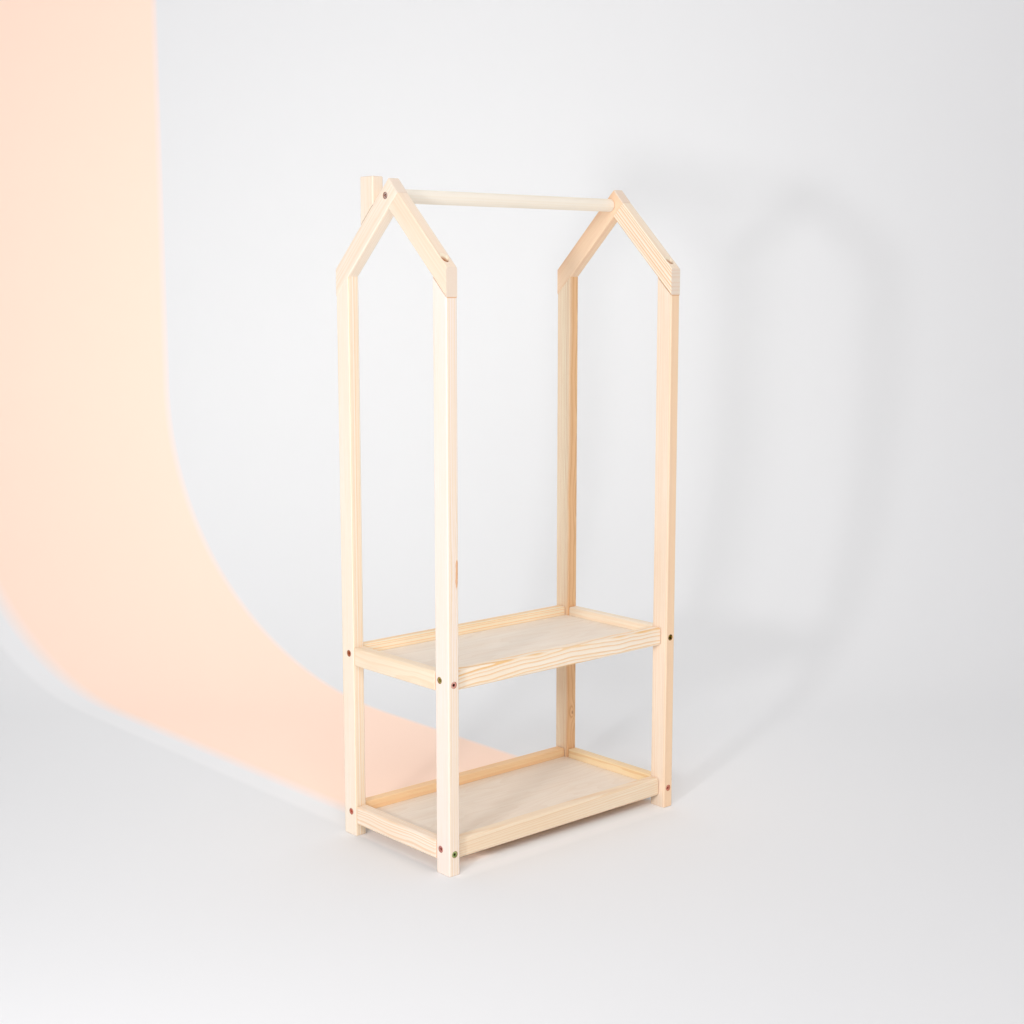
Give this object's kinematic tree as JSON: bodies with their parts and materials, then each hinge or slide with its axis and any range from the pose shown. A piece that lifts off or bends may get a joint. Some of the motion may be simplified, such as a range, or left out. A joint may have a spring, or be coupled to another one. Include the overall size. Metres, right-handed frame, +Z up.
{
  "type": "clothes rack",
  "caption": "House-shaped clothes rack in pine: gabled end frames carry a round hanging rod and shallow trays, with a chimney block on a gable.",
  "frame": {"origin": "on the floor, in the middle of the rack's length and depth", "axes": "+X along the rack from the chimney end to the other end, +Y from front to back, +Z up"},
  "size_m": [0.51, 0.279, 1.0821],
  "materials": {
    "pine": "planed pine, clear matt finish",
    "rod_wood": "sanded turned wood, clear satin finish",
    "plywood": "thin plywood, sanded, clear matt finish",
    "zinc": "yellow passivated zinc, satin"
  },
  "bodies": {
    "root": {"post_front_left": "pine", "post_back_left": "pine", "post_front_right": "pine", "post_back_right": "pine", "rafter_front_left": "pine", "rafter_back_left": "pine", "rafter_front_right": "pine", "rafter_back_right": "pine", "chimney": "pine", "upper_front_rail": "pine", "upper_back_rail": "pine", "upper_left_rail": "pine", "upper_right_rail": "pine", "lower_front_rail": "pine", "lower_back_rail": "pine", "lower_left_rail": "pine", "lower_right_rail": "pine", "upper_panel": "plywood", "lower_panel": "plywood", "hanging_rod": "rod_wood", "chimney_dowel": "rod_wood", "screw_eave_front_left": "zinc", "screw_eave_back_left": "zinc", "screw_eave_front_right": "zinc", "screw_eave_back_right": "zinc", "screw_apex_left": "zinc", "screw_apex_right": "zinc", "screw_rod_left": "zinc", "screw_rod_right": "zinc", "screw_upper_front_rail_left": "zinc", "screw_upper_front_rail_right": "zinc", "screw_upper_back_rail_left": "zinc", "screw_upper_back_rail_right": "zinc", "screw_lower_front_rail_left": "zinc", "screw_lower_front_rail_right": "zinc", "screw_lower_back_rail_left": "zinc", "screw_lower_back_rail_right": "zinc", "screw_upper_left_rail_front": "zinc", "screw_upper_left_rail_back": "zinc", "screw_upper_right_rail_front": "zinc", "screw_upper_right_rail_back": "zinc", "screw_lower_left_rail_front": "zinc", "screw_lower_left_rail_back": "zinc", "screw_lower_right_rail_front": "zinc", "screw_lower_right_rail_back": "zinc"}
  },
  "joints": []
}
